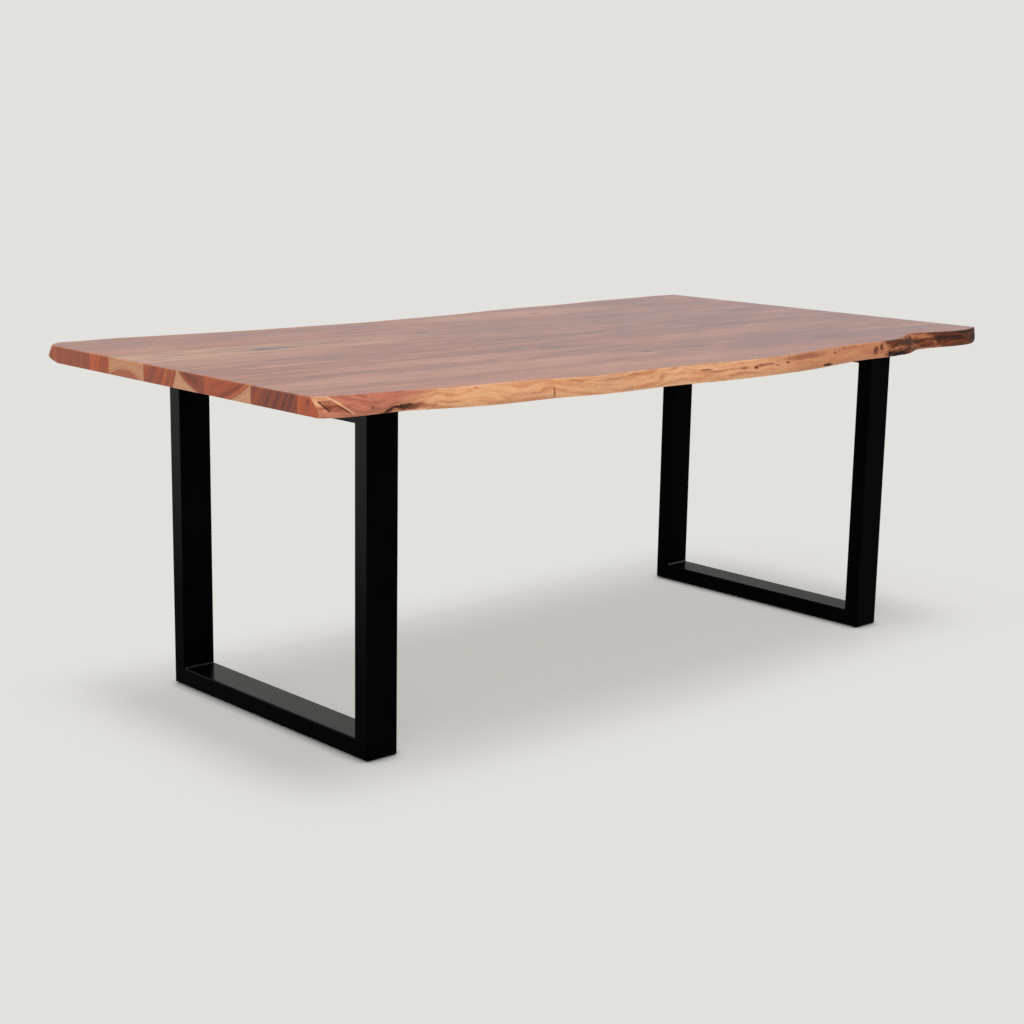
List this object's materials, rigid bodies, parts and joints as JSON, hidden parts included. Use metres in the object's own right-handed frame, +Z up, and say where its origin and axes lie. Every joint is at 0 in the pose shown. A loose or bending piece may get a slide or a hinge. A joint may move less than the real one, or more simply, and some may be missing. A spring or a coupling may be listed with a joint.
{
  "type": "dining table",
  "caption": "Long dining table with a solid wood top that keeps its natural wavy edges, carried on closed rectangular frames of black steel tube.",
  "frame": {"origin": "on the floor, under the middle of the top's box", "axes": "+X along the table to the right as seen from the front edge, +Y to the rear, +Z up"},
  "size_m": [2.155, 1.221, 0.769],
  "materials": {
    "brown_wood": "satin lacquer over brown red heartwood",
    "orange_wood": "satin lacquer over orange heartwood",
    "pale_wood": "satin lacquer over pale sapwood",
    "red_wood": "satin lacquer over red heartwood",
    "black_powder_coat": "fine satin powder coat",
    "black_nylon": "moulded, slightly worn",
    "zinc_plated_steel": "zinc plated",
    "brass_insert": "turned brass"
  },
  "bodies": {
    "root": {"rear_live_edge_board": "brown_wood", "top_board_2": "orange_wood", "top_board_3": "pale_wood", "top_board_4": "red_wood", "top_board_5": "red_wood", "top_board_6": "brown_wood", "front_live_edge_board": "orange_wood", "left_foot_rail": "black_powder_coat", "left_top_rail": "black_powder_coat", "left_front_upright": "black_powder_coat", "left_rear_upright": "black_powder_coat", "left_corner_welds": "black_powder_coat", "left_glides": "black_nylon", "left_top_bolts": "zinc_plated_steel", "left_bolt_washers": "zinc_plated_steel", "left_threaded_inserts": "brass_insert", "right_foot_rail": "black_powder_coat", "right_top_rail": "black_powder_coat", "right_front_upright": "black_powder_coat", "right_rear_upright": "black_powder_coat", "right_corner_welds": "black_powder_coat", "right_glides": "black_nylon", "right_top_bolts": "zinc_plated_steel", "right_bolt_washers": "zinc_plated_steel", "right_threaded_inserts": "brass_insert"}
  },
  "joints": []
}
